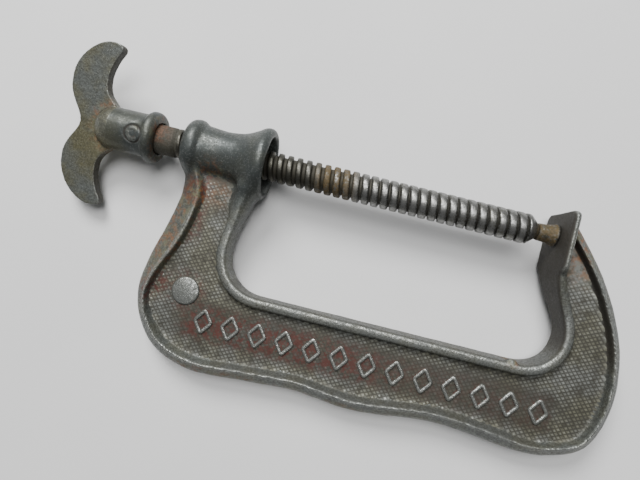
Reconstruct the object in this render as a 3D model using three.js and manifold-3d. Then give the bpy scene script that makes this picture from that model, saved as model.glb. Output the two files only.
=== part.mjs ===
// A cast-iron C-clamp lying on its side: frame, square-thread screw, wing handle, rivet and swivel button.
// Millimetres. Everything is drawn in the clamp's own frame, then laid on the table in one turn and shift.
// X runs along the screw with 0 at the anvil's face, Y points away from the spine, Z is the thickness.
import * as THREE from "three";
import { mergeVertices } from "three/addons/utils/BufferGeometryUtils.js";
import Module from "manifold-3d";

const wasm = await Module();
wasm.setup();

const GAP = 0.3; // between neighbouring pieces
const OPENING = 127; // anvil to boss mouth
const TURNS = 30; // of the screw, from closed to fully open
const PITCH = OPENING / TURNS;
const AROUND = 32; // facets round a turned surface
const ALONG = { back: 64, throat: 48 }; // steps along the frame's two edges

const WEB = { half: 3.5 };
const FLANGE = { half: 7.4, thick: 4.8, round: 1.3 }; // rim that lines the throat
const NECK = { foot: -30, top: -14, half: 9, thick: 8 }; // what the rim grows into under the boss
const ANVIL = { half: 14.6, top: 10.4, heel: -13, foot: -25, lip: 2.6 }; // lip: thickness at its long edges
const BACK_RIM = { half: 7.4, wide: 5.4 }; // bead along the outer edge
const BOSS = { end: -165.5, mouth: -OPENING, bead: 12.6, waist: 10.4, lip: 16.2 };
const BELL = { mouth: 12.6, floor: -139 }; // hollow in the boss's mouth, in front of the tapped hole
const THREAD = { crest: 6.6, root: 5.1, ridge: 1.7, lean: 0.35, steps: 12, from: -169.5, to: -9 };
const SLACK = { radial: 0.35, axial: 0.2 }; // of the tapped hole over the screw
const SHANK = { radius: 6.6, end: -199 };
const HUB = { radius: 9.6, centre: -199.5, collar: 11.2, face: -178.6 };
const WING = { half: 2.3, round: 0.8, turn: 10 }; // turn: degrees the handle stands off the clamp's plane
const RIVET = { at: -187.5, radius: 3.3, head: 0.35 };
const ROUNDEL = { x: -149, y: -62.5, radius: 6.4 }; // raised disc at the corner of the web
const LOZENGES = { count: 13, first: -138, step: 12.2, y: -73.5 }; // raised row along the spine
const LOZENGE = { outer: [4.2, 5.4], inner: [2.5, 3.2] }; // half widths and half heights
const RAISED = 0.9; // height of both above the web
const BUTTON = { back: -8.3, face: -GAP, rear: 3.7, front: 4.8, ball: 2.7, neck: 1.95, centre: -4.9 };

// The outer edge, from the boss round the wavy spine to the anvil.
const BACK_EDGE = [
  [-163.5, -5], [-163, -15], [-163.2, -25.5], [-165.9, -38.3], [-169.6, -52.5], [-170.7, -67.2],
  [-165.9, -80.5], [-155.7, -91], [-138.3, -96], [-115.4, -94.4], [-92.5, -92.6], [-65.5, -94],
  [-31.5, -89.8], [3.5, -92], [18.6, -89.8], [30, -84], [36.2, -71], [37.6, -54],
  [33.6, -35.1], [22.5, -13.3], [6.2, 7],
];

// The throat's edge, from the boss mouth along the spine to the top of the anvil's face.
function throatEdge() {
  const edge = new THREE.Path();
  edge.moveTo(BOSS.mouth - 1, -10);
  edge.bezierCurveTo(-130.8, -22, -135.2, -31, -134.8, -41);
  edge.bezierCurveTo(-134.5, -50, -127.5, -57.5, -117, -57.5);
  edge.lineTo(-6, -56);
  edge.bezierCurveTo(4, -56, 10, -50, 10, -41.5);
  edge.bezierCurveTo(10, -32, 0.5, -24, 0, ANVIL.heel);
  edge.lineTo(0, ANVIL.top);
  return edge;
}

// ---- solids ----

// A closed geometry as a solid for the booleans.
function solid(geometry) {
  geometry.deleteAttribute("normal");
  geometry.deleteAttribute("uv");
  const merged = mergeVertices(geometry, 1e-4);
  return new wasm.Manifold(
    new wasm.Mesh({
      numProp: 3,
      vertProperties: merged.attributes.position.array,
      triVerts: new Uint32Array(merged.index.array),
    }),
  );
}

// Vertices and triangles as a solid.
function meshSolid(vertices, triangles) {
  const geometry = new THREE.BufferGeometry();
  geometry.setAttribute("position", new THREE.Float32BufferAttribute(vertices.flat(), 3));
  geometry.setIndex(triangles.flat());
  return solid(geometry);
}

// A body turned about the X axis from [x, radius] pairs that run towards +X.
function turned(profile, around = AROUND) {
  const points = profile.map(([x, radius]) => new THREE.Vector2(radius, x));
  return solid(new THREE.LatheGeometry(points, around).rotateZ(-Math.PI / 2));
}

// [x, radius] pairs of a circular arc about (centre, 0), degrees measured from +X.
function arc(centre, radius, fromDeg, toDeg, steps) {
  return Array.from({ length: steps + 1 }, (_, i) => {
    const a = THREE.MathUtils.degToRad(fromDeg + ((toDeg - fromDeg) * i) / steps);
    return [centre + radius * Math.cos(a), Math.max(0, radius * Math.sin(a))];
  });
}

// A flat shape extruded equally to both sides of Z = 0, its edges rounded by `round`.
function plate(shape, half, round = 0) {
  const geometry = new THREE.ExtrudeGeometry(shape, {
    depth: 2 * (half - round),
    bevelEnabled: round > 0,
    bevelThickness: round,
    bevelSize: round,
    bevelOffset: -round,
    bevelSegments: 2,
    curveSegments: 6,
  });
  return solid(geometry.translate(0, 0, round - half));
}

// A body through a row of closed rings of points, each with the same count, capped at both ends.
function loft(rings) {
  const count = rings[0].length;
  const vertices = rings.flat();
  const triangles = [];
  for (let i = 0; i + 1 < rings.length; i++)
    for (let k = 0; k < count; k++) {
      const a = i * count + k;
      const b = i * count + ((k + 1) % count);
      triangles.push([a, b, b + count], [a, b + count, a + count]);
    }
  const last = (rings.length - 1) * count;
  for (let k = 1; k + 1 < count; k++) {
    triangles.push([0, k + 1, k], [last, last + k, last + k + 1]);
  }
  return meshSolid(vertices, triangles);
}

// A rim swept along an edge. `section` gives [inset, z] pairs at a point of the edge;
// side is 1 where the metal lies left of the edge's direction and -1 where it lies right.
function rim(edge, steps, side, section) {
  const rings = Array.from({ length: steps + 1 }, (_, i) => {
    const at = edge.getPointAt(i / steps);
    const along = edge.getTangentAt(i / steps);
    const ring = section(at).map(([inset, z]) => [
      at.x - side * along.y * inset,
      at.y + side * along.x * inset,
      z,
    ]);
    return side > 0 ? ring : ring.reverse();
  });
  return loft(rings);
}

// ---- thread ----

// A rod with a right-hand thread along X, longer than [from, to] by up to a turn at each end.
function threadedRod(from, to, root, crest, ridge, lean) {
  const profile = [
    [-ridge / 2 - lean, root],
    [-ridge / 2, crest],
    [ridge / 2, crest],
    [ridge / 2 + lean, root],
  ];
  const first = Math.floor(from / PITCH) - 1;
  const steps = (Math.ceil(to / PITCH) + 1 - first) * THREAD.steps;
  const vertices = [];
  for (let j = 0; j <= steps + THREAD.steps; j++) {
    const angle = (2 * Math.PI * j) / THREAD.steps;
    for (const [x, radius] of profile)
      vertices.push([
        (first + j / THREAD.steps) * PITCH + x,
        radius * Math.cos(angle),
        radius * Math.sin(angle),
      ]);
  }
  // Corner k of step j; corner 4 is the first corner one turn further on.
  const at = (j, k) => (k < 4 ? 4 * j + k : 4 * (j + THREAD.steps));
  const triangles = [];
  for (let j = 0; j < steps; j++)
    for (let k = 0; k < 4; k++) {
      triangles.push([at(j, k), at(j + 1, k), at(j + 1, k + 1)]);
      triangles.push([at(j, k), at(j + 1, k + 1), at(j, k + 1)]);
    }
  const used = vertices.slice(0, 4 * (steps + THREAD.steps) + 1);
  const cap = (j, flip) => {
    const loop = [3, 2, 1, 0].map((k) => at(j, k));
    for (let i = 1; i <= THREAD.steps; i++) loop.push(at(j + i, 0));
    const middle = used.length;
    used.push([used[at(j, 0)][0] + PITCH / 2, 0, 0]);
    loop.forEach((a, i) => {
      const b = loop[(i + 1) % loop.length];
      triangles.push(flip ? [middle, a, b] : [middle, b, a]);
    });
  };
  cap(0, false);
  cap(steps, true);
  return meshSolid(used, triangles);
}

// ---- frame ----

// The thin plate between the two edges.
function web(back, throat) {
  const outline = [
    ...back.getSpacedPoints(ALONG.back),
    ...throat.getSpacedPoints(ALONG.throat).reverse(),
  ];
  return plate(new THREE.Shape(outline), WEB.half);
}

// The bead along the back: a slope from the silhouette up to a crest, then a steep step to the web.
// It is widest down the boss arm.
function backRim(back) {
  return rim(back, ALONG.back, 1, (at) => {
    const arm = THREE.MathUtils.smoothstep(at.y, -70, -30) * (at.x < -100 ? 1 : 0);
    const wide = BACK_RIM.wide * (1 + 0.35 * arm);
    const half = BACK_RIM.half;
    const upper = [
      [0, 0.12 * half],
      [0.08 * wide, 0.45 * half],
      [0.3 * wide, 0.8 * half],
      [0.55 * wide, half],
      [0.8 * wide, 0.97 * half],
      [wide, 0.75 * half],
      [1.1 * wide, 0.3 * half],
    ];
    return mirrored(upper);
  });
}

// The flat rim round the throat: it grows thicker under the boss and spreads into the anvil's slab.
function throatRim(throat) {
  const { lerp, smoothstep } = THREE.MathUtils;
  const { thick, round } = FLANGE;
  return rim(throat, ALONG.throat, -1, (at) => {
    const jaw = at.x > -60 ? 1 : 0;
    const spread = jaw * smoothstep(at.y, ANVIL.foot, ANVIL.heel);
    const neck = (1 - jaw) * smoothstep(at.y, NECK.foot, NECK.top);
    const corner = (jaw * Math.max(0, at.y - ANVIL.top + 4) ** 2) / 4;
    const half = lerp(lerp(FLANGE.half, ANVIL.half, spread), NECK.half, neck) - corner;
    const lip = lerp(lerp(thick, ANVIL.lip, spread), NECK.thick, neck);
    return mirrored([
      [0, half - round],
      [0.3 * round, half - 0.3 * round],
      [0.8 * round, half],
      [lip - 0.8 * round, half],
      [lip, half - round],
      [lerp(thick, NECK.thick, neck), half * lerp(0.8, 0.45, spread)],
    ]);
  });
}

// A section's upper half, listed from the edge inwards, closed by its mirror image below.
function mirrored(upper) {
  return [...upper.map(([inset, z]) => [inset, -z]), ...upper.reverse()];
}

// The boss round the screw: a bead at the handle end, a waist and a flared mouth.
function bossBody() {
  const { end, mouth, bead, waist, lip } = BOSS;
  return turned([
    [end, 0],
    [end, bead - 2.8],
    [end + 0.9, bead - 1.1],
    [end + 2.6, bead - 0.15],
    [end + 4.4, bead],
    [end + 6.2, bead - 0.5],
    [end + 7.4, bead - 1.5],
    [end + 12, waist + 0.35],
    [end + 17, waist],
    [end + 22, waist + 0.5],
    [end + 27, waist + 1.7],
    [end + 31, waist + 3.6],
    [mouth - 5, lip - 0.6],
    [mouth - 3.4, lip],
    [mouth - 1.4, lip - 0.4],
    [mouth - 0.2, lip - 1.6],
    [mouth, lip - 2.4],
    [mouth, 0],
  ]);
}

// What is cut from the boss: the bell mouth's hollow and the tapped hole behind it.
function bossBore() {
  const { end, mouth } = BOSS;
  const { mouth: hollow, floor } = BELL;
  const bore = THREAD.crest + SLACK.radial;
  const bell = turned([
    [floor, 0],
    [floor, bore],
    [floor + 2.5, bore + 2.4],
    [mouth - 4, hollow - 0.8],
    [mouth, hollow],
    [mouth + 3, hollow + 0.4],
    [mouth + 3, 0],
  ]);
  const trim = turned([
    [end - 1, 0],
    [end - 1, bore + 1],
    [floor + 1, bore + 1],
    [floor + 1, 0],
  ]);
  const tap = threadedRod(
    end,
    floor,
    THREAD.root + SLACK.radial,
    bore,
    THREAD.ridge + 2 * SLACK.axial,
    THREAD.lean,
  );
  return tap.intersect(trim).add(bell);
}

// A four-sided outline with its points on the axes.
function lozenge(path, x, y, [wide, tall]) {
  path.moveTo(x + wide, y);
  path.lineTo(x, y + tall);
  path.lineTo(x - wide, y);
  path.lineTo(x, y - tall);
  return path.closePath();
}

// Raised marks on the web: a disc at the corner and a row of hollow lozenges along the spine.
function marks() {
  const top = WEB.half + RAISED;
  const raise = (shape) => plate(shape, top / 2).translate([0, 0, top / 2]);
  let all = raise(new THREE.Shape().absarc(ROUNDEL.x, ROUNDEL.y, ROUNDEL.radius, 0, 2 * Math.PI));
  for (let i = 0; i < LOZENGES.count; i++) {
    const x = LOZENGES.first + LOZENGES.step * i;
    const shape = lozenge(new THREE.Shape(), x, LOZENGES.y, LOZENGE.outer);
    shape.holes.push(lozenge(new THREE.Path(), x, LOZENGES.y, LOZENGE.inner));
    all = all.add(raise(shape));
  }
  return all;
}

function frameCasting() {
  const back = new THREE.SplineCurve(BACK_EDGE.map(([x, y]) => new THREE.Vector2(x, y)));
  const throat = throatEdge();
  return web(back, throat)
    .add(backRim(back))
    .add(throatRim(throat))
    .add(bossBody())
    .add(marks())
    .subtract(bossBore());
}

// ---- screw, handle, rivet, button ----

// The cross hole for the rivet, through hub and screw.
function rivetHole() {
  const reach = HUB.collar;
  const hole = new THREE.CylinderGeometry(RIVET.radius + GAP, RIVET.radius + GAP, 2 * reach, 24);
  return solid(hole.rotateX(Math.PI / 2).translate(RIVET.at, 0, 0));
}

// The threaded bar: plain end in the handle, thread, short stub and the ball that holds the button.
function screw() {
  const { crest, root, ridge, lean, from, to } = THREAD;
  const { ball, neck, centre, back, rear } = BUTTON;
  const blank = turned([
    [from - 1, 0],
    [from - 1, root - 0.6],
    [from + 0.8, crest + 0.1],
    [to - 3.6, crest + 0.1],
    [to, rear - 0.2],
    [to, 0],
  ]);
  const plain = turned([
    [SHANK.end, 0],
    [SHANK.end, SHANK.radius - 1],
    [SHANK.end + 1, SHANK.radius],
    [from - 0.8, SHANK.radius],
    [from + 0.8, root],
    [from + 0.8, 0],
  ]);
  const pin = turned([
    [to - 2, 0],
    [to - 2, neck],
    ...arc(centre, ball, 180 - THREE.MathUtils.radToDeg(Math.asin(neck / ball)), 0, 7),
  ]);
  const stub = turned([
    [to - 3, 0],
    [to - 3, rear - 0.2],
    [back - GAP, rear - 0.2],
    [back - GAP, 0],
  ]);
  return threadedRod(from, to, root, crest, ridge, lean)
    .intersect(blank)
    .add(plain)
    .add(stub)
    .add(pin)
    .subtract(rivetHole());
}

// The handle casting: a round-ended hub with a collar, bored for the screw, on a two-horned wing.
function handle() {
  const { radius, centre, collar, face } = HUB;
  const hub = turned([
    ...arc(centre, radius, 180, 95, 10),
    [face - 8.8, radius + 0.9],
    [face - 7.9, radius + 1.3],
    [face - 7.2, collar - 0.5],
    [face - 5.4, collar],
    [face - 2.4, collar],
    [face - 0.8, collar - 0.6],
    [face, collar - 2],
    [face, 0],
  ]);
  const bore = turned([
    [SHANK.end - GAP, 0],
    [SHANK.end - GAP, SHANK.radius + GAP],
    [face + 1, SHANK.radius + GAP],
    [face + 1, 0],
  ]);
  return plate(wingOutline(), WING.half, WING.round).add(hub).subtract(bore).subtract(rivetHole());
}

// One horn as [control, control, end] points of its curves, then the same mirrored across the screw.
function wingOutline() {
  const waist = [-216.5, 0];
  const horn = [
    [[-216.5, 5], [-223, 9], [-223, 17]],
    [[-223, 25], [-219, 31], [-213.5, 34.5]],
    [[-210.5, 36.4], [-206.5, 37.4], [-203.6, 36.4]],
    [[-201.4, 35.7], [-201.2, 34.4], [-202, 32.8]],
    [[-205.6, 27.5], [-208, 19], [-204.8, 14]],
    [[-202.5, 10.8], [-198, 9.4], [-194, 8.6]],
  ];
  const shape = new THREE.Shape();
  shape.moveTo(...waist);
  for (const [[a, b], [c, d], [x, y]] of horn) shape.bezierCurveTo(a, b, c, d, x, y);
  shape.lineTo(-194, -8.6);
  for (let i = horn.length - 1; i >= 0; i--) {
    const [x, y] = i > 0 ? horn[i - 1][2] : waist;
    const [[a, b], [c, d]] = horn[i];
    shape.bezierCurveTo(c, -d, a, -b, x, -y);
  }
  return shape;
}

// The cross-pin, hammered over at both ends.
function rivet() {
  const end = HUB.radius + 0.2;
  const { radius, head, at } = RIVET;
  return turned(
    [
      [-end - head, 0],
      [-end - head, radius - 0.9],
      [-end, radius],
      [end, radius],
      [end + head, radius - 0.9],
      [end + head, 0],
    ],
    24,
  )
    .rotate([0, -90, 0])
    .translate([at, 0, 0]);
}

// The pad on the screw's tip, hollow inside for the ball.
function button() {
  const { back, face, rear, front, ball, neck, centre } = BUTTON;
  const mouth = neck + GAP;
  const body = turned([
    [back, 0],
    [back, rear],
    [face - 1.6, front],
    [face, front - 0.5],
    [face, 0],
  ]);
  const cavity = turned([
    [back - 1, 0],
    [back - 1, mouth],
    ...arc(centre, ball + GAP, 180 - THREE.MathUtils.radToDeg(Math.asin(mouth / (ball + GAP))), 0, 7),
  ]);
  return body.subtract(cavity);
}

// ---- assembly ----

const IRON = { color: 0x63665f, roughness: 0.6, metalness: 0.75 };
const STEEL = { color: 0x8b8a84, roughness: 0.4, metalness: 0.9 };
const RUST = { color: 0x7a5636, roughness: 0.85, metalness: 0.3 };

// A solid as a named mesh.
function piece(name, body, look) {
  const { numProp, numVert, vertProperties, triVerts } = body.getMesh();
  const positions = new Float32Array(numVert * 3);
  for (let i = 0; i < numVert; i++)
    positions.set(vertProperties.subarray(i * numProp, i * numProp + 3), 3 * i);
  const geometry = new THREE.BufferGeometry();
  geometry.setAttribute("position", new THREE.BufferAttribute(positions, 3));
  geometry.setIndex(new THREE.BufferAttribute(triVerts, 1));
  const mesh = new THREE.Mesh(geometry, new THREE.MeshStandardMaterial(look));
  mesh.name = name;
  return mesh;
}

const turnWithHandle = (body) => body.rotate([WING.turn, 0, 0]);

const clamp = new THREE.Group();
clamp.add(
  piece("frame", frameCasting(), IRON),
  piece("screw", turnWithHandle(screw()), STEEL),
  piece("wing_handle", turnWithHandle(handle()), IRON),
  piece("handle_rivet", turnWithHandle(rivet()), STEEL),
  piece("swivel_button", button(), RUST),
);

// At rest the back rim and the anvil's heel touch the table, so the clamp's plane leans a little.
const spineReach = Math.min(...BACK_EDGE.map(([, y]) => y)) + BACK_RIM.wide / 2;
clamp.rotation.x = Math.atan((ANVIL.half - BACK_RIM.half) / (ANVIL.heel - spineReach));

const part = new THREE.Group();
part.add(clamp);
part.updateMatrixWorld(true);
const box = new THREE.Box3().setFromObject(part, true);
const middle = box.getCenter(new THREE.Vector3());
clamp.position.set(-middle.x, -middle.y, -box.min.z);

export default part;
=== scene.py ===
"""The looks of an old cast-iron C-clamp lying on its side on a pale table.

Shapes are drawn in millimetres in the clamp's own frame (X along the screw with 0 at the anvil's
face, Y away from the spine, Z across the thickness) and then placed with one matrix, PLACE.
"""

import math

import bmesh
import bpy
import numpy as np
from mathutils import Matrix, Vector, noise
from mathutils.bvhtree import BVHTree


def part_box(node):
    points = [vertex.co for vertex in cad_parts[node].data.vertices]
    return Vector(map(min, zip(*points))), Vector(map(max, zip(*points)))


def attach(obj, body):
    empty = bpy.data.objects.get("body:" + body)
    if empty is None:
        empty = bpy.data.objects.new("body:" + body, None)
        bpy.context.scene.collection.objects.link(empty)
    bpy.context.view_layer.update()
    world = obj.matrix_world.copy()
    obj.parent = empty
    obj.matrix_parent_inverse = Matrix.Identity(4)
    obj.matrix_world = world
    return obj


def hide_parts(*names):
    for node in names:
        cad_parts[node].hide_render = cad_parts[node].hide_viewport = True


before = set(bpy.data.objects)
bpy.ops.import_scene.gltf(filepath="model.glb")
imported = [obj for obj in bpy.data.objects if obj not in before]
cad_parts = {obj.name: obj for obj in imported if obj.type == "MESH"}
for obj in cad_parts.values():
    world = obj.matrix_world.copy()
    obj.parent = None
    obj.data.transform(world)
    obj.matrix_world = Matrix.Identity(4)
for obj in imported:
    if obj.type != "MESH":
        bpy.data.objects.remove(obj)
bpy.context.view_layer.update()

# ---- driving sizes, millimetres ----

GAP = 0.3
PITCH = 127 / 30
WEB_HALF = 3.2  # under the knurl
RIM_HALF, BACK_RIM_WIDE = 7.4, 5.4
ANVIL_HALF, ANVIL_TOP, ANVIL_HEEL, ANVIL_LIP, ANVIL_ROUND = 14.6, 10.4, -13, 2.6, 3.2
FLANGE_THICK, NECK_THICK, NECK_HALF = 4.4, 8.4, 9.4
BOSS_END, BOSS_MOUTH, BOSS_BORE = -165.5, -127, 7.3
THREAD_FROM, THREAD_TO, ROOT, CREST = -173.5, -9, 5.1, 6.6
NECK = 6.6
HUB_FACE, HUB_CENTRE, HUB_RADIUS = -178.6, -199.5, 9.6
WING_HALF, WING_TURN = 2.3, 10
RIVET_AT, RIVET_RADIUS = -187.5, 3.5
KNURL_PITCH, KNURL_TALL, KNURL_ANGLE, KNURL_LEAN = 1.6, 0.55, -12, 37
KNURL_COUNT = 150  # diamonds each way from the lattice's middle
KNURL_MIDDLE = (-65, -45)
ROUNDEL_AT, KNOB_AT = (-149, -62.5), (-7.5, -55.8)
LOZENGES, LOZENGE_FIRST, LOZENGE_STEP, LOZENGE_Y = 13, -138, 12.2, -73.5
LOZENGE_WIDE, LOZENGE_TALL = 3.7, 5.0  # half sizes
CASTING_VOXEL, HANDLE_VOXEL = 0.62, 0.38

# The casting's outer edge, from the boss round the wavy spine to the anvil.
BACK_EDGE = [
    (-163.5, -5), (-163, -15), (-163.2, -25.5), (-165.9, -38.3), (-169.6, -52.5), (-170.7, -67.2),
    (-165.9, -80.5), (-155.7, -91), (-138.3, -96), (-115.4, -94.4), (-92.5, -92.6), (-65.5, -94),
    (-31.5, -89.8), (3.5, -92), (18.6, -89.8), (30, -84), (36.2, -71), (37.6, -54),
    (33.6, -35.1), (22.5, -13.3), (6.2, 7),
]  # fmt: skip

# The anvil's heel and the spine's rim both touch the table.
SPINE_REACH = min(y for _, y in BACK_EDGE) + BACK_RIM_WIDE / 2
TILT = math.atan((ANVIL_HALF - RIM_HALF) / (ANVIL_HEEL - SPINE_REACH))
button_low, button_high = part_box("swivel_button")
AXIS = Vector(
    (
        button_high.x + GAP / 1000,
        (button_low.y + button_high.y) / 2,
        (button_low.z + button_high.z) / 2,
    )
)
PLACE = Matrix.Translation(AXIS) @ Matrix.Rotation(TILT, 4, "X") @ Matrix.Scale(0.001, 4)
HANDLE_TURN = Matrix.Rotation(math.radians(WING_TURN), 4, "X")


# ---- paths ----


def catmull_rom(points, per=16):
    """A smooth open path through the points."""
    p = np.array(points, float)
    p = np.vstack([p[0], p, p[-1]])
    t = np.linspace(0, 1, per, endpoint=False)[:, None]
    pieces = []
    for a, b, c, d in zip(p, p[1:], p[2:], p[3:]):
        pieces.append(
            b + 0.5 * t * (c - a + t * (2 * a - 5 * b + 4 * c - d + t * (3 * (b - c) + d - a)))
        )
    return np.vstack([*pieces, p[-1:]])


def bezier(a, b, c, d, per=24):
    t = np.linspace(0, 1, per)[:, None]
    a, b, c, d = (np.array(q, float) for q in (a, b, c, d))
    return (1 - t) ** 3 * a + 3 * (1 - t) ** 2 * t * b + 3 * (1 - t) * t**2 * c + t**3 * d


def evenly(path, step):
    """The path's points set evenly, about step apart, and the unit vectors along it."""
    path = path[np.r_[True, np.linalg.norm(np.diff(path, axis=0), axis=1) > 1e-6]]
    at = np.r_[0, np.cumsum(np.linalg.norm(np.diff(path, axis=0), axis=1))]
    s = np.linspace(0, at[-1], int(at[-1] / step) + 1)
    even = np.stack([np.interp(s, at, path[:, i]) for i in range(2)], 1)
    along = np.gradient(even, axis=0)
    return even, along / np.linalg.norm(along, axis=1)[:, None]


def throat_path():
    return np.vstack(
        [
            bezier((-128, -10), (-130.8, -22), (-135.2, -31), (-134.8, -41)),
            bezier((-134.8, -41), (-134.5, -50), (-127.5, -57.5), (-117, -57.5)),
            bezier((-6, -56), (4, -56), (10, -50), (10, -41.5)),
            bezier((10, -41.5), (10, -32), (0.5, -24), (0, ANVIL_HEEL)),
            [(0, ANVIL_TOP)],
        ]
    )


def smoothstep(x, low, high):
    t = np.clip((x - low) / (high - low), 0, 1)
    return t * t * (3 - 2 * t)


# ---- mesh helpers ----


def loft(rings):
    """Vertices and faces of a closed body through rings of points, capped at both ends."""
    count = len(rings[0])
    faces = []
    for i in range(len(rings) - 1):
        for k in range(count):
            a, b = i * count + k, i * count + (k + 1) % count
            faces.append((a, b, b + count, a + count))
    last = (len(rings) - 1) * count
    faces.append(tuple(range(count - 1, -1, -1)))
    faces.append(tuple(range(last, last + count)))
    return [tuple(p) for ring in rings for p in ring], faces


def sweep(path, along, side, section):
    """A rim along a flat path: section(x, y) gives [inset, z] pairs, inset into the metal."""
    rings = []
    for (x, y), (ax, ay) in zip(path, along):
        ring = [(x - side * ay * inset, y + side * ax * inset, z) for inset, z in section(x, y)]
        rings.append(ring if side > 0 else ring[::-1])
    return loft(rings)


def mirrored(upper):
    return [(inset, -z) for inset, z in upper] + upper[::-1]


def turned(profile, around=96, closed=False):
    """A body turned about X from (x, radius) pairs that run towards +X.

    closed joins the last pair to the first; otherwise both ends are capped.
    """
    n = len(profile)
    points = [
        (x, r * math.cos(2 * math.pi * i / around), r * math.sin(2 * math.pi * i / around))
        for i in range(around)
        for x, r in profile
    ]
    faces = []
    for i in range(around):
        j = (i + 1) % around
        for k in range(n if closed else n - 1):
            m = (k + 1) % n
            faces.append((i * n + k, j * n + k, j * n + m, i * n + m))
    if not closed:
        faces.append(tuple(i * n for i in range(around))[::-1])
        faces.append(tuple(i * n + n - 1 for i in range(around)))
    return points, faces


def prism(outline, half):
    n = len(outline)
    points = [(x, y, -half) for x, y in outline] + [(x, y, half) for x, y in outline]
    faces = [tuple(range(n - 1, -1, -1)), tuple(range(n, 2 * n))]
    faces += [(i, (i + 1) % n, n + (i + 1) % n, n + i) for i in range(n)]
    return points, faces


def joined(*bodies):
    points, faces = [], []
    for p, f in bodies:
        faces += [tuple(i + len(points) for i in face) for face in f]
        points += p
    return points, faces


def mesh_of(name, body):
    mesh = bpy.data.meshes.new(name)
    mesh.from_pydata(body[0], [], body[1])
    mesh.validate()
    return mesh


def positions(mesh):
    co = np.empty(len(mesh.vertices) * 3, np.float32)
    mesh.vertices.foreach_get("co", co)
    return co.reshape(-1, 3).astype(float)


def normals(mesh):
    n = np.empty(len(mesh.vertices) * 3, np.float32)
    mesh.vertices.foreach_get("normal", n)
    return n.reshape(-1, 3).astype(float)


def edge_pairs(mesh):
    e = np.empty(len(mesh.edges) * 2, np.int32)
    mesh.edges.foreach_get("vertices", e)
    return e.reshape(-1, 2)


def relaxed(co, edges, times, factor=0.5):
    """Positions after each point moves towards its neighbours' middle."""
    both = np.vstack([edges, edges[:, ::-1]])
    count = np.bincount(both[:, 0], minlength=len(co)).clip(1)[:, None]
    for _ in range(times):
        mean = np.stack(
            [np.bincount(both[:, 0], co[both[:, 1], i], minlength=len(co)) for i in range(3)], 1
        )
        co = co + factor * (mean / count - co)
    return co


def set_positions(mesh, co):
    mesh.vertices.foreach_set("co", co.astype(np.float32).ravel())
    mesh.update()


def lumps(co, size, seed):
    """Smooth noise from -1 to 1 at each point, with features about size mm across."""
    shift = Vector((seed * 17.3, seed * 5.1, seed * 9.7))
    return np.array([noise.noise(Vector(p) / size + shift) for p in co.tolist()])


def fused(name, body, voxel, soften):
    """The bodies melted into one casting with rounded inner corners."""
    obj = bpy.data.objects.new(name, mesh_of(name, body))
    bpy.context.scene.collection.objects.link(obj)
    remesh = obj.modifiers.new("melt", "REMESH")
    remesh.mode = "VOXEL"
    remesh.voxel_size = voxel
    graph = bpy.context.evaluated_depsgraph_get()
    mesh = bpy.data.meshes.new_from_object(obj.evaluated_get(graph))
    bpy.data.objects.remove(obj)
    set_positions(mesh, relaxed(positions(mesh), edge_pairs(mesh), soften))
    return mesh


def store(mesh, name, values):
    layer = mesh.attributes.new(name, "FLOAT", "POINT")
    layer.data.foreach_set("value", np.asarray(values, np.float32))


def mark_edges(mesh, reach, scale):
    """Stores how far each point stands out of (1) or back from (-1) its surroundings."""
    co = positions(mesh)
    out = ((co - relaxed(co, edge_pairs(mesh), reach)) * normals(mesh)).sum(1)
    store(mesh, "edge", np.clip(out / scale, -1, 1))


def thin_out(mesh, hidden):
    """Dissolves the small faces of a flat stretch that other pieces cover."""
    work = bmesh.new()
    work.from_mesh(mesh)
    work.verts.ensure_lookup_table()
    verts = [work.verts[int(i)] for i in np.flatnonzero(hidden)]
    edges = {e for v in verts for e in v.link_edges if hidden[e.other_vert(v).index]}
    bmesh.ops.dissolve_limit(work, angle_limit=math.radians(1), verts=verts, edges=list(edges))
    work.to_mesh(mesh)
    work.free()


def piece(name, mesh, body, material, nodes=(), turn=None):
    """Places a mesh drawn in the clamp's frame as a visible piece on a body."""
    mesh.transform(PLACE @ turn if turn else PLACE)
    mesh.shade_smooth()
    mesh.materials.clear()
    mesh.materials.append(material)
    obj = bpy.data.objects.new(name, mesh)
    bpy.context.scene.collection.objects.link(obj)
    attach(obj, body)
    if nodes:
        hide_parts(*nodes)
    return obj


# ---- materials ----


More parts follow.
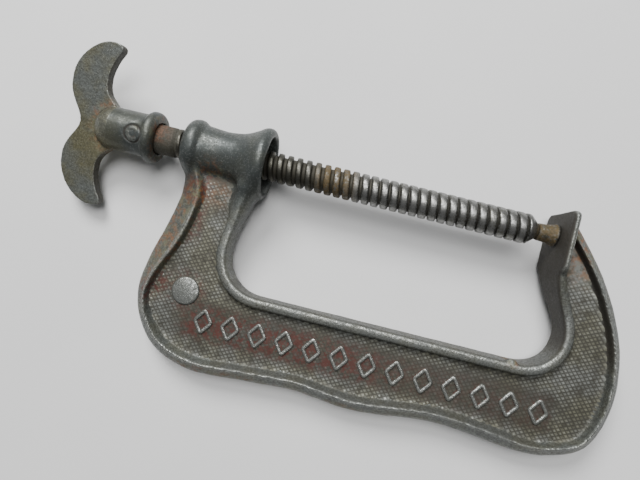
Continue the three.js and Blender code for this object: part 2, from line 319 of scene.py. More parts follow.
class Paint:
    """A procedural material under construction, on the piece's own coordinates in millimetres."""

    def __init__(self, name):
        self.material = bpy.data.materials.new(name)
        self.material.use_nodes = True
        self.tree = self.material.node_tree
        self.shader = self.tree.nodes["Principled BSDF"]
        coordinates = self.add("ShaderNodeTexCoord")
        scale = self.add("ShaderNodeVectorMath", operation="SCALE")
        scale.inputs["Scale"].default_value = 1000
        self.link(coordinates.outputs["Object"], scale.inputs[0])
        self.at = scale.outputs[0]

    def add(self, kind, **settings):
        node = self.tree.nodes.new(kind)
        for key, value in settings.items():
            setattr(node, key, value)
        return node

    def link(self, output, socket):
        self.tree.links.new(output, socket)

    def put(self, value, socket):
        """Links an output to a socket, or sets the socket's value."""
        if isinstance(value, bpy.types.NodeSocket):
            self.link(value, socket)
        else:
            socket.default_value = value

    def noise(self, size, detail=3.0, rough=0.55, distort=0.0):
        node = self.add("ShaderNodeTexNoise")
        node.inputs["Scale"].default_value = 1 / size
        node.inputs["Detail"].default_value = detail
        node.inputs["Roughness"].default_value = rough
        node.inputs["Distortion"].default_value = distort
        self.link(self.at, node.inputs["Vector"])
        return node.outputs["Fac"]

    def cells(self, size):
        node = self.add("ShaderNodeTexVoronoi")
        node.inputs["Scale"].default_value = 1 / size
        self.link(self.at, node.inputs["Vector"])
        return node.outputs["Distance"]

    def attribute(self, name):
        return self.add("ShaderNodeAttribute", attribute_name=name).outputs["Fac"]

    def math(self, operation, a, b=0.0, clamp=False):
        node = self.add("ShaderNodeMath", operation=operation, use_clamp=clamp)
        self.put(a, node.inputs[0])
        self.put(b, node.inputs[1])
        return node.outputs[0]

    def between(self, value, low, high, to_low=0.0, to_high=1.0):
        """Value mapped smoothly from [low, high] to [to_low, to_high]."""
        node = self.add("ShaderNodeMapRange", interpolation_type="SMOOTHSTEP")
        self.put(value, node.inputs["Value"])
        for name, v in zip(("From Min", "From Max", "To Min", "To Max"), (low, high, to_low, to_high)):
            node.inputs[name].default_value = v
        return node.outputs["Result"]

    def mix(self, share, a, b):
        node = self.add("ShaderNodeMix", data_type="RGBA")
        self.put(share, node.inputs["Factor"])
        self.put(rgba(a), node.inputs[6])
        self.put(rgba(b), node.inputs[7])
        return node.outputs[2]

    def bump(self, height, strength, distance, after=None):
        node = self.add("ShaderNodeBump")
        node.inputs["Strength"].default_value = strength
        node.inputs["Distance"].default_value = distance / 1000
        self.put(height, node.inputs["Height"])
        if after:
            self.link(after, node.inputs["Normal"])
        return node.outputs["Normal"]

    def finish(self, color, metal, rough, normal):
        self.put(color, self.shader.inputs["Base Color"])
        self.put(metal, self.shader.inputs["Metallic"])
        self.put(rough, self.shader.inputs["Roughness"])
        self.link(normal, self.shader.inputs["Normal"])
        return self.material


def rgba(color):
    return (*color, 1.0) if isinstance(color, tuple) else color


GREY, SMOOTH_GREY = (0.116, 0.125, 0.116), (0.058, 0.066, 0.064)
DARK, SHADE_DARK = (0.040, 0.038, 0.033), (0.030, 0.026, 0.021)
OLIVE = (0.125, 0.118, 0.068)
WORN_AND_HIGHLIGHT = (0.36, 0.37, 0.35)
RUST = (0.19, 0.078, 0.028)
RED = (0.082, 0.024, 0.018)
STEEL, TARNISH, BRIGHT_STEEL = (0.23, 0.23, 0.22), (0.060, 0.060, 0.054), (0.36, 0.36, 0.35)
THREAD_DARK, GROOVE_DARK = (0.044, 0.041, 0.029), (0.038, 0.035, 0.026)
BROWN_RUST, DARK_BROWN_RUST = (0.118, 0.074, 0.024), (0.062, 0.048, 0.020)
ORANGE_RUST, DARK_ORANGE_RUST = (0.20, 0.052, 0.010), (0.085, 0.034, 0.012)
WEB_GREY, WEB_OLIVE, WEB_TIP = (0.145, 0.150, 0.138), (0.130, 0.127, 0.092), (0.40, 0.41, 0.37)
WEB_HOLLOW, WEB_DIRT_AND_SHADE = (0.035, 0.033, 0.026), (0.040, 0.037, 0.028)


def iron(name, olive=0.5, shine=1.0):
    """Old iron casting: grey and olive patina, dark pits and hollows, edges worn bright.

    Rust, red paint and olive stain lie where the attributes say, and so do painted shade and painted
    highlight.
    """
    p = Paint(name)
    edge, smooth = p.attribute("edge"), p.attribute("smooth")
    rougher = p.math("SUBTRACT", 1.0, p.math("MULTIPLY", smooth, 0.7))
    broad, fine, grain = p.noise(9, 4), p.noise(0.9, 5, 0.7), p.noise(0.35, 3, 0.6)
    base = p.mix(smooth, GREY, SMOOTH_GREY)
    patina = p.math("MULTIPLY", p.between(broad, 0.38, 0.66, 0, olive), rougher)
    color = p.mix(p.math("ADD", patina, p.attribute("stain"), clamp=True), base, OLIVE)
    darkening = p.math("MULTIPLY", p.between(fine, 0.42, 0.66, 0, 0.6), rougher)
    color = p.mix(darkening, color, DARK)
    light = p.math("MULTIPLY", p.between(fine, 0.52, 0.36), p.between(grain, 0.45, 0.6))
    color = p.mix(p.math("MULTIPLY", light, 0.35 * shine), color, WORN_AND_HIGHLIGHT)
    hollow = p.between(edge, -0.7, -0.12, 0.8, 0)
    color = p.mix(hollow, color, DARK)
    rust = p.math("MULTIPLY", p.attribute("rust"), p.between(p.noise(2.6, 5, 0.7), 0.40, 0.6))
    color = p.mix(rust, color, p.mix(p.between(p.noise(5, 4), 0.42, 0.56), RUST, OLIVE))
    red = p.math("MULTIPLY", p.attribute("red"), p.between(p.noise(2.4, 5, 0.7), 0.42, 0.58))
    color = p.mix(red, color, RED)
    # Paler worn metal on convex edges, plus painted highlight along the rim tops and the anvil's lip.
    bare_and_highlight = p.math("MAXIMUM", p.between(edge, 0.26, 0.7), p.math("MULTIPLY", p.attribute("rubbed_and_highlight"), 0.8))
    bare_and_highlight = p.math("MULTIPLY", bare_and_highlight, p.between(smooth, 0, 1, 1, 0.25))
    worn = p.math("MULTIPLY", bare_and_highlight, p.between(fine, 0.36, 0.62, 1, 0.15))
    color = p.mix(p.math("MULTIPLY", worn, 0.85 * shine), color, WORN_AND_HIGHLIGHT)
    # Painted shade: the marked walls, grooves and spots are darkened towards near black.
    painted_shade = p.math("MULTIPLY", p.attribute("painted_shade"), p.between(edge, 0.3, 0.7, 0.9, 0.3))
    color = p.mix(painted_shade, color, SHADE_DARK)
    spots = p.between(p.cells(0.85), 0.12, 0.30, 1, 0)
    pitted = p.math("MULTIPLY", spots, p.between(p.noise(4.5, 3), 0.38, 0.58, 0.3, 1))
    color = p.mix(p.math("MULTIPLY", pitted, 0.8, clamp=True), color, DARK)
    cover = p.math("MAXIMUM", p.math("MAXIMUM", rust, red), painted_shade)
    metal = p.math("MULTIPLY", p.between(worn, 0, 1, 0.45, 0.9), p.math("SUBTRACT", 1.0, cover))
    rough = p.math("ADD", p.between(fine, 0.3, 0.7, 0.32, 0.5), p.math("MULTIPLY", cover, 0.25))
    rough = p.math("SUBTRACT", rough, p.math("MULTIPLY", worn, 0.08))
    normal = p.bump(p.math("MULTIPLY", p.noise(0.9, 5, 0.7), rougher), 0.5, 0.35)
    normal = p.bump(p.math("SUBTRACT", 1.0, pitted), 0.4, 0.2, normal)
    p.shader.inputs["Specular IOR Level"].default_value = 0.3
    return p.finish(color, metal, rough, normal)


def steel(name, rusty=0.3):
    """Turned steel: crests worn bright, grooves darker; a darker tone, dull skin and rust where marked.
    """
    p = Paint(name)
    edge = p.attribute("edge")
    broad, fine = p.noise(7, 3), p.noise(0.8, 5, 0.7)
    darkening, dull = p.attribute("darkening"), p.attribute("dull")
    color = p.mix(p.between(fine, 0.35, 0.60), STEEL, TARNISH)
    color = p.mix(p.between(edge, 0.8, 1.0, 0, 0.5), color, BRIGHT_STEEL)
    old = p.math("MULTIPLY", p.between(broad, 0.45, 0.65, 0, rusty), p.between(fine, 0.4, 0.6))
    color = p.mix(old, color, OLIVE)
    color = p.mix(darkening, color, THREAD_DARK)
    patches = p.between(p.noise(1.8, 5, 0.7), 0.32, 0.54)
    rust = p.math("MULTIPLY", p.attribute("rust"), patches, clamp=True)
    brown = p.mix(p.between(fine, 0.35, 0.65), BROWN_RUST, DARK_BROWN_RUST)
    color = p.mix(rust, color, brown)
    red = p.math("MULTIPLY", p.attribute("red"), p.between(p.noise(2.2, 5, 0.7), 0.36, 0.52), clamp=True)
    orange = p.mix(p.between(fine, 0.4, 0.6), ORANGE_RUST, DARK_ORANGE_RUST)
    color = p.mix(red, color, orange)
    groove = p.between(edge, -0.9, 0.5, 0.85, 0)
    color = p.mix(groove, color, GROOVE_DARK)
    spots = p.between(p.cells(0.9), 0.10, 0.26, 1, 0)
    color = p.mix(p.math("MULTIPLY", spots, 0.7), color, DARK)
    cover = p.math("MAXIMUM", p.math("MAXIMUM", rust, red), p.math("MULTIPLY", groove, 0.8))
    cover = p.math("MAXIMUM", cover, dull)
    metal = p.math("SUBTRACT", 0.85, p.math("MULTIPLY", cover, 0.8))
    rough = p.math("ADD", p.between(fine, 0.3, 0.7, 0.27, 0.42), p.math("MULTIPLY", cover, 0.35))
    rough = p.math("ADD", rough, p.math("MULTIPLY", darkening, 0.08))
    p.shader.inputs["Specular IOR Level"].default_value = 0.3
    return p.finish(color, metal, rough, p.bump(fine, 0.4, 0.25))


def knurled(name):
    """The web's crossed texture: pale worn tips over dark olive dirt, with old red paint and painted
    shade along the marks and under the boss.
    """
    p = Paint(name)
    edge = p.attribute("edge")
    broad, fine = p.noise(11, 4), p.noise(0.9, 4, 0.7)
    olive = p.math("ADD", p.between(broad, 0.36, 0.62), p.attribute("stain"), clamp=True)
    color = p.mix(olive, WEB_GREY, WEB_OLIVE)
    color = p.mix(p.between(edge, -1, -0.1, 0.9, 0), color, WEB_HOLLOW)
    rust = p.math("MULTIPLY", p.attribute("rust"), p.between(p.noise(4.0, 5, 0.65), 0.40, 0.6))
    color = p.mix(rust, color, RUST)
    tips = p.math("MULTIPLY", p.between(edge, -0.05, 0.7), p.between(fine, 0.36, 0.58))
    tips = p.math("MULTIPLY", tips, p.between(p.noise(6, 4, 0.6), 0.36, 0.60, 0.35, 1))
    color = p.mix(p.math("MULTIPLY", tips, 0.85), color, WEB_TIP)
    # Random dirt, and painted shade along the row of marks and under the boss.
    dirt = p.between(p.noise(3.2, 5, 0.7), 0.44, 0.66, 0, 0.75)
    color = p.mix(p.math("MAXIMUM", dirt, p.attribute("darkening")), color, WEB_DIRT_AND_SHADE)
    red = p.math("MULTIPLY", p.attribute("red"), p.between(p.noise(3.0, 5, 0.75), 0.43, 0.58))
    color = p.mix(p.math("MULTIPLY", red, p.between(edge, 0.2, 0.9, 0.85, 0.35)), color, RED)
    rough = p.between(tips, 0, 1, 0.55, 0.36)
    metal = p.between(tips, 0, 1, 0.4, 0.8)
    return p.finish(color, metal, rough, p.bump(fine, 0.3, 0.2))


# ---- the casting ----

back, back_along = evenly(catmull_rom(BACK_EDGE), 0.8)
throat, throat_along = evenly(throat_path(), 0.8)


def inset_line(path, along, side, inset):
    return path + side * inset * np.stack([-along[:, 1], along[:, 0]], 1)


def web_outline(inset):
    """The web's flat outline, its edges inset under both rims and clear of the boss's hollow."""
    outer = inset_line(back, back_along, 1, inset)
    inner = inset_line(throat, throat_along, -1, inset)
    outer = outer[(outer[:, 1] < -9) | (outer[:, 0] > -60)]
    inner = inner[(inner[:, 1] < -16) | (inner[:, 0] > -60)]
    under_boss = [(-132.5, -14), (-136.5, -11), (-140, -9)]
    return np.vstack([outer, inner[::-1], under_boss])


def bead_section(x, y):
    """The back rim: an outer slope up to a crest, widest down the boss arm, then a short inner slope."""
    arm = smoothstep(y, -74, -34) * (1 - smoothstep(y, -20, -5)) * (x < -100)
    spine = (1 - smoothstep(y, -86, -76)) * (1 - smoothstep(x, -10, 12))
    f = 4.7 + 5.2 * float(arm) + 0.3 * float(spine)
    g = 0.6 + 0.6 * float(spine)
    w = 0.9 * float(arm) + 0.3
    return mirrored(
        [
            (0, 1.0),
            (0.10 * f, 2.8),
            (0.32 * f, 4.3),
            (0.62 * f, 5.6),
            (f - 0.3 - w, 6.8),
            (f - 0.1 - 0.5 * w, RIM_HALF + 0.1),
            (f, RIM_HALF + 0.2),
            (f + 0.4, RIM_HALF - 0.2),
            (f + 0.4 + 0.5 * g, 6.0),
            (f + 0.4 + 1.1 * g, 4.4),
            (f + 0.4 + 2.0 * g, 2.6),
        ]
    )


def flange_section(x, y):
    """The rim round the throat: thicker under the boss, spreading into the anvil's slab."""
    jaw = x > -60
    spread = neck = corner = 0.0
    if jaw:
        spread = float(0.5 * smoothstep(y, -17, ANVIL_HEEL) + 0.5 * smoothstep(y, -34, -15))
        into = max(0.0, y - ANVIL_TOP + ANVIL_ROUND)
        corner = ANVIL_ROUND - math.sqrt(ANVIL_ROUND**2 - into**2)
    else:
        neck = float(smoothstep(y, -32, -17))
        corner = 1.5 * float(smoothstep(y, -15.5, -13))
    half = RIM_HALF + (ANVIL_HALF - RIM_HALF) * spread + (NECK_HALF - RIM_HALF) * neck - corner
    lip = FLANGE_THICK + (ANVIL_LIP - FLANGE_THICK) * spread + (NECK_THICK - FLANGE_THICK) * neck
    soft = 1 + 2.2 * neck
    return mirrored(
        [
            (0, half - 1.5 * soft),
            (0.25 * soft, half - 0.7 * soft),
            (0.8 * soft, half - 0.12 * soft),
            (1.4 * soft, half),
            (max(1.5 * soft, lip - 0.9 * soft), half - 0.3 * soft),
            (lip, half - 1.1 * soft),
            (max(lip, FLANGE_THICK) + 0.2, half * (0.8 - 0.35 * spread)),
        ]
    )


def boss_profile():
    outside = catmull_rom(
        [
            (BOSS_END, 9.2), (-165.2, 10.6), (-164.2, 11.9), (-162.3, 12.6), (-160, 12.5),
            (-158.5, 11.6), (-157.6, 11.0), (-154, 10.7), (-148.5, 10.4), (-143, 10.9),
            (-138.5, 12.1), (-134.5, 14.1), (-132, 15.6), (-130.2, 16.2), (-128.4, 15.9),
            (-127.3, 14.9), (BOSS_MOUTH, 13.9),
        ],  # fmt: skip
        per=5,
    )
    inside = [
        (-127.2, 13.1), (-128, 12.6), (-131, 12.0), (-134, 11.0), (-136.5, 9.4), (-138.5, 7.9),
        (-139.5, BOSS_BORE), (-152, BOSS_BORE), (-165, BOSS_BORE), (BOSS_END, BOSS_BORE + 0.4),
    ]  # fmt: skip
    return [tuple(p) for p in outside] + inside


def casting_lump(x, y, z, size):
    """A knob left by the mould on the throat's rim, or the filling where that rim meets the boss."""
    profile = [(size * math.cos(a), size * 0.62 * math.sin(a)) for a in np.linspace(math.pi, 0, 9)]
    points, faces = turned(profile, 16)
    return [(x + px, y + py, z + pz) for px, py, pz in points], faces


def casting():
    bead = (back[:, 1] < -8.8) | (back[:, 0] > -60)
    rim = (throat[:, 1] < -13.6) | (throat[:, 0] > -60)
    body = joined(
        prism(web_outline(1.6), WEB_HALF),
        sweep(back[bead], back_along[bead], 1, bead_section),
        sweep(throat[rim], throat_along[rim], -1, flange_section),
        turned(boss_profile(), 128, closed=True),
        casting_lump(*KNOB_AT, 5.6, 2.3),
        *(casting_lump(-133.5, -12.4, 8 * side, 4.8) for side in (-1, 1)),
    )
    mesh = fused("casting", body, CASTING_VOXEL, 2)
    co = positions(mesh)
    set_positions(mesh, co + fillet_share(co)[:, None] * (relaxed(co, edge_pairs(mesh), 45) - co))
    co, out = positions(mesh), normals(mesh)
    covered = (np.abs(co[:, 2]) < WEB_HALF + 0.04) & (np.abs(out[:, 2]) > 0.9999)
    rough = 0.10 * lumps(co, 9, 1) + 0.06 * lumps(co, 2.6, 2) + 0.03 * lumps(co, 1.0, 3)
    set_positions(mesh, co + out * (rough * ~covered)[:, None])
    mark_edges(mesh, 8, 0.45)
    store(mesh, "rust", casting_rust(co))
    store(mesh, "red", 0.8 * near(co, (-155, -18), 9) + 0.8 * near(co, (-164, -66), 8))
    # Painted shade on the anvil's face towards the screw and on the spine rim's inner wall.
    jaw_wall = smoothstep(-out[:, 0], 0.2, 0.8) * (co[:, 0] > -12) * smoothstep(co[:, 1], -56, -42)
    spine_wall = smoothstep(out[:, 1], 0.4, 0.8) * (np.abs(co[:, 0] + 60) < 70) * (co[:, 1] < -48)
    store(mesh, "painted_shade", np.maximum(jaw_wall, 0.45 * spine_wall))
    on_boss = (co[:, 0] < -110) * (1 - smoothstep(np.hypot(co[:, 1], co[:, 2]), 17, 25))
    store(mesh, "smooth", on_boss)
    # Wear and painted highlight: the flat tops of the rims away from the boss, and the anvil's lip, are
    # made paler.
    level = smoothstep(np.abs(co[:, 2]), 6.5, 7.2) * (1 - smoothstep(co[:, 1], -34, -20))
    lip = 0.6 * smoothstep(np.abs(co[:, 2]), 13, 14) * (co[:, 0] > -12)
    store(mesh, "rubbed_and_highlight", 0.85 * np.maximum(level, lip) * smoothstep(np.abs(out[:, 2]), 0.35, 0.8))
    thin_out(mesh, covered)
    return mesh


def fillet_share(co):
    """How far each point is drawn into the generous fillets under the boss."""
    under = smoothstep(-co[:, 1], 7, 11) * (1 - smoothstep(-co[:, 1], 21, 27)) * (co[:, 0] < -110)
    return under * np.where(co[:, 0] < -131, 1, smoothstep(np.hypot(co[:, 1], co[:, 2]), 15.2, 16.6))


def near(co, centre, reach):
    """1 at a flat point of the clamp's plane, falling to 0 at reach."""
    return 1 - smoothstep(np.hypot(co[:, 0] - centre[0], co[:, 1] - centre[1]), 0.25 * reach, reach)


def casting_rust(co):
    """Rust lies in the anvil's back, on the boss arm's slope, on the lump and under the boss."""
    slope = (co[:, 0] < -146) * smoothstep(co[:, 1], -74, -52) * (1 - smoothstep(co[:, 1], -22, -14))
    spine = 0.5 * (1 - smoothstep(co[:, 1], -93.2, -90.5))
    anvil = 0.8 * near(co, (13, 0), 16) * (co[:, 0] > 3)
    spots = near(co, KNOB_AT, 3.5) + 0.7 * near(co, (-150, -14), 13)
    return np.clip(0.6 * slope + spine + anvil + spots, 0, 1)


def inside_outline(points, outline):
    """Which points lie inside a closed flat outline."""
    x, y = points[:, 0], points[:, 1]
    found = np.zeros(len(points), bool)
    for (x0, y0), (x1, y1) in zip(outline, np.roll(outline, -1, axis=0)):
        crosses = (y0 > y) != (y1 > y)
        with np.errstate(divide="ignore", invalid="ignore"):
            found ^= crosses & (x < (x1 - x0) * (y - y0) / (y1 - y0) + x0)
    return found


def face_height(tree, points, side):
    """How high the casting's upper (1) or under (-1) face stands, up to the rims' lower slopes."""
    hits = (tree.ray_cast(Vector((x, y, 30 * side)), Vector((0, 0, -side)))[0] for x, y in points)
    return np.array([side * hit.z if hit else WEB_HALF for hit in hits]).clip(max=WEB_HALF + 0.6)


def knurl(side, tree):
    """A lattice of small raised diamonds draped over one face of the web; side is 1 or -1."""
    count = KNURL_COUNT
    span = np.arange(-count, count)
    lean, turn = math.radians(KNURL_LEAN), math.radians(KNURL_ANGLE)
    i, j = np.meshgrid(span, span, indexing="ij")

    def at(u, v):
        a = (u - v) * KNURL_PITCH * math.cos(lean)
        b = (u + v) * KNURL_PITCH * math.sin(lean)
        x = a * math.cos(turn) - b * math.sin(turn) + KNURL_MIDDLE[0]
        return np.stack([x, a * math.sin(turn) + b * math.cos(turn) + KNURL_MIDDLE[1]], -1)

    centres = at(i + 0.5, j + 0.5)
    kept = inside_outline(centres.reshape(-1, 2), web_outline(2.6)).reshape(i.shape)
    kept[kept] = face_height(tree, centres[kept], side) < WEB_HALF + 0.6
    used = np.zeros((2 * count + 1, 2 * count + 1), bool)
    for a in (0, 1):
        for b in (0, 1):
            used[a : a + 2 * count, b : b + 2 * count] |= kept
    number = np.cumsum(used).reshape(used.shape) - 1
    gi, gj = np.nonzero(used)
    low = at(gi - count, gj - count)
    tips = centres[kept]
    jitter = 0.3 * np.stack([lumps(np.c_[tips, tips[:, :1] * 0 + k], 1.3, 5 + k) for k in (0, 1)], 1)
    tips = tips + jitter
    base, foot = face_height(tree, tips, side), face_height(tree, low, side)
    wear = knurl_wear(tips)
    tall = KNURL_TALL * wear * knurl_share(tips, base)
    z = side * (np.r_[foot, base + tall] + 0.05)
    points = np.c_[np.vstack([low, tips]), z]
    faces = []
    for n, (a, b) in enumerate(zip(*np.nonzero(kept))):
        ring = [number[a, b], number[a + 1, b], number[a + 1, b + 1], number[a, b + 1]]
        ring = ring if side > 0 else ring[::-1]
        faces += [(int(ring[k]), int(ring[(k + 1) % 4]), len(low) + n) for k in range(4)]
    mesh = mesh_of("knurl", (points.tolist(), faces))
    co = positions(mesh)
    store(mesh, "edge", np.r_[-knurl_share(low, foot), knurl_share(tips, base) * (2 * wear - 1)])
    row = (1 - smoothstep(np.abs(co[:, 1] + 74), 4, 10)) * smoothstep(co[:, 0], -152, -142)
    row *= 1 - 0.75 * smoothstep(co[:, 0], -80, -40)
    row = np.maximum(row * (co[:, 0] < 14), near(co, ROUNDEL_AT, 12))
    strip = (1 - smoothstep(co[:, 0], -153, -147)) * smoothstep(co[:, 1], -46, -34)
    red = np.maximum(row, np.maximum(strip, near(co, (-163, -62), 10)))
    store(mesh, "red", red)
    store(mesh, "stain", 0.8 * near(co, (-144, -46), 13))
    # Painted shade: darker along the row of raised marks and close under the boss.
    shade = 1 - smoothstep(np.abs(co[:, 1] + 73), 6, 11)
    row_shade = 0.76 * shade * (co[:, 0] < 14) * smoothstep(co[:, 0], -156, -146)
    shade_under_boss = 0.8 * (1 - smoothstep(-co[:, 1], 10, 17)) * (co[:, 0] < -100)
    store(mesh, "darkening", np.maximum(row_shade, shade_under_boss))
    store(mesh, "rust", np.clip(0.9 * near(co, (12, -2), 20) + 0.4 * near(co, (-147, -13), 16), 0, 1))
    return mesh


def knurl_wear(points):
    """How much of each diamond is left, from 0.3 to 1."""
    flat = np.c_[points, 0 * points[:, :1]]
    return np.clip(0.78 + 0.5 * lumps(flat, 12, 7) + 0.4 * lumps(flat, 1.7, 8), 0.3, 1)


def knurl_share(points, base):
    """The texture fades up the rims' slopes, behind the anvil and close under the boss."""
    anvil = smoothstep(np.hypot(points[:, 0] - 10, points[:, 1] - 2), 10, 26)
    boss = np.where(points[:, 0] > -100, 1, 0.3 + 0.7 * smoothstep(-points[:, 1], 11, 14.5))
    return anvil * boss * (1 - smoothstep(base, WEB_HALF + 0.1, WEB_HALF + 0.6))


def lozenge(x, y, wide, tall):
    """A raised hollow lozenge: a thin rounded ridge round four soft corners."""
    corners = [(x + wide, y), (x, y + tall), (x - wide, y), (x, y - tall)]
    path = []
    for k, corner in enumerate(corners):
        before, after = (np.array(corners[(k + d) % 4]) for d in (-1, 1))
        c = np.array(corner, float)
        a, b = c + 0.14 * (before - c), c + 0.14 * (after - c)
        path += [(1 - t) ** 2 * a + 2 * t * (1 - t) * c + t**2 * b for t in np.linspace(0, 1, 5)]
    path = np.array(path)
    along = np.roll(path, -1, axis=0) - np.roll(path, 1, axis=0)
    along /= np.linalg.norm(along, axis=1)[:, None]
    out = np.stack([along[:, 1], -along[:, 0]], 1)
    upper = [(1.05, -0.5), (0.88, 0.4), (0.64, 0.85), (0.28, 1.0)]
    section = upper + [(-d, h) for d, h in upper[::-1]]
    n, m = len(path), len(section)
    points = [(*(p + o * d), WEB_HALF + h) for p, o in zip(path, out) for d, h in section]
    faces = [
        (i * m + k, i * m + (k + 1) % m, (i + 1) % n * m + (k + 1) % m, (i + 1) % n * m + k)
        for i in range(n)
        for k in range(m)
    ]
    return points, [f[::-1] for f in faces]


def marks():
    """The raised row along the spine and the roundel at the corner."""
    row = (LOZENGE_FIRST + LOZENGE_STEP * k for k in range(LOZENGES))
    bodies = [lozenge(x, LOZENGE_Y, LOZENGE_WIDE, LOZENGE_TALL) for x in row]
    disc = [(-0.5, 6.5), (0.45, 6.2), (0.85, 5.8), (1.0, 5.3), (0.98, 0.01)]
    points, faces = turned(disc, 48)
    points = [(ROUNDEL_AT[0] + z, ROUNDEL_AT[1] + y, WEB_HALF + x) for x, y, z in points]
    bodies.append((points, [f[::-1] for f in faces]))
    mesh = mesh_of("marks", joined(*bodies))
    co = positions(mesh)
    store(mesh, "edge", smoothstep(co[:, 2], WEB_HALF + 0.3, WEB_HALF + 0.9) - 0.3)
    store(mesh, "red", np.where(co[:, 2] < WEB_HALF + 0.4, 0.9, 0))
    set_positions(mesh, co + np.c_[0 * co[:, :2], 0.12 * lumps(co, 2.5, 9)])
    return mesh


# ---- screw, handle, rivet and button ----


def helical_thread(steps=40):
    """A right-hand thread with worn crests, wider towards the tip, where it runs out.

    Returns points, faces and how high each point stands, from -1 in the groove to 1 on the crest.
    """
    flank = [(1.0, 0.0), (0.94, 0.1), (0.87, 0.62), (0.76, 0.88), (0.5, 0.97), (0.15, 1.0)]
    shape = [(-d, h) for d, h in flank] + flank[::-1]
    m = len(shape)
    first = math.floor(THREAD_FROM / PITCH)
    total = (math.ceil((THREAD_TO - THREAD_FROM) / PITCH) + 1) * steps
    points, height = [], []
    for j in range(total + steps + 1):
        x0 = (first + j / steps) * PITCH
        angle = 2 * math.pi * j / steps
        half = 1.45 + 0.6 * float(smoothstep(x0, -115, -50))
        worn = 0.05 * noise.noise(Vector((x0 * 0.7, 2 * math.cos(angle), 2 * math.sin(angle))))
        for d, h in shape:
            x = min(max(x0 + d * half, THREAD_FROM), THREAD_TO)
            runout = 3.4 + (THREAD_TO - x) * 0.9
            start = ROOT - 0.3 + (x - THREAD_FROM) * 0.7
            r = min(ROOT + (CREST - ROOT + worn) * h, runout, start)
            points.append((x, r * math.cos(angle), r * math.sin(angle)))
            height.append(2 * h - 1)

    def at(j, k):
        return j * m + k if k < m else (j + steps) * m

    faces = [
        (at(j, k), at(j + 1, k), at(j + 1, k + 1), at(j, k + 1)) for j in range(total) for k in range(m)
    ]
    used = (total + steps) * m + 1
    points, height = points[:used], height[:used]
    for j, flip in ((0, False), (total, True)):
        loop = [at(j, k) for k in range(m - 1, -1, -1)] + [at(j + i, 0) for i in range(1, steps + 1)]
        middle = len(points)
        points.append((points[at(j, 0)][0], 0, 0))
        height.append(-1)
        for a, b in zip(loop, loop[1:] + loop[:1]):
            faces.append((middle, a, b) if flip else (middle, b, a))
    return points, faces, height


def screw():
    points, faces, height = helical_thread()
    shank = turned(
        [
            (-199, 0.01), (-199, 5.6), (-198, NECK), (-171.6, NECK), (-170.6, 6.2),
            (-169.6, 5.3), (-168, 4.7), (-167, 0.01),
        ]
    )  # fmt: skip
    stub = turned(
        [
            (-16, 0.01), (-16, 3.5), (-8.6, 3.5), (-8.4, 2.2), (-7, 1.95), (-6, 2.4),
            (-4.9, 2.7), (-3, 1.9), (-2.2, 0.01),
        ],
        48,
    )  # fmt: skip
    mesh = mesh_of("screw", joined((points, faces), shank, stub))
    co = positions(mesh)
    edge = np.r_[height, np.full(len(co) - len(height), -0.5)]
    edge = np.where(co[:, 0] < -168.5, 0.5, edge)
    plain = (co[:, 0] < -168.5) * 1.0
    # Darker towards the handle end.
    store(mesh, "darkening", 0.85 * (1 - smoothstep(co[:, 0], -120, -75)))
    store(mesh, "dull", 0.95 * plain)
    store(mesh, "edge", edge)
    patch = 0.9 * (1 - smoothstep(np.abs(co[:, 0] + 97), 3, 13))
    store(mesh, "rust", patch + smoothstep(co[:, 0], -10.5, -9))
    neck = smoothstep(-co[:, 0], 171, 176) * smoothstep(co[:, 1] + 0.4 * co[:, 2], -0.5, 4)
    store(mesh, "red", 1.6 * neck)
    merged = bmesh.new()
    merged.from_mesh(mesh)
    bmesh.ops.remove_doubles(merged, verts=merged.verts, dist=1e-4)
    merged.to_mesh(mesh)
    merged.free()
    return mesh


def wing_outline():
    """The wing's flat outline: two horns that curve towards the clamp."""
    horn = [
        ((-216.5, 0), (-216.5, 5), (-223, 9), (-223, 17)),
        ((-223, 17), (-223, 25), (-219, 31), (-213.5, 34.5)),
        ((-213.5, 34.5), (-210.5, 36.4), (-206.5, 37.4), (-203.6, 36.4)),
        ((-203.6, 36.4), (-201.4, 35.7), (-201.2, 34.4), (-202, 32.8)),
        ((-202, 32.8), (-205.6, 27.5), (-208, 19), (-204.8, 14)),
        ((-204.8, 14), (-202.5, 10.8), (-199.8, 9.6), (-199.8, 8.4)),
    ]
    upper = np.vstack([bezier(*curve, per=10)[:-1] for curve in horn] + [[(-199.8, 8.4)]])
    lower = upper[1:][::-1] * (1, -1)
    return np.vstack([upper, lower])[::-1]


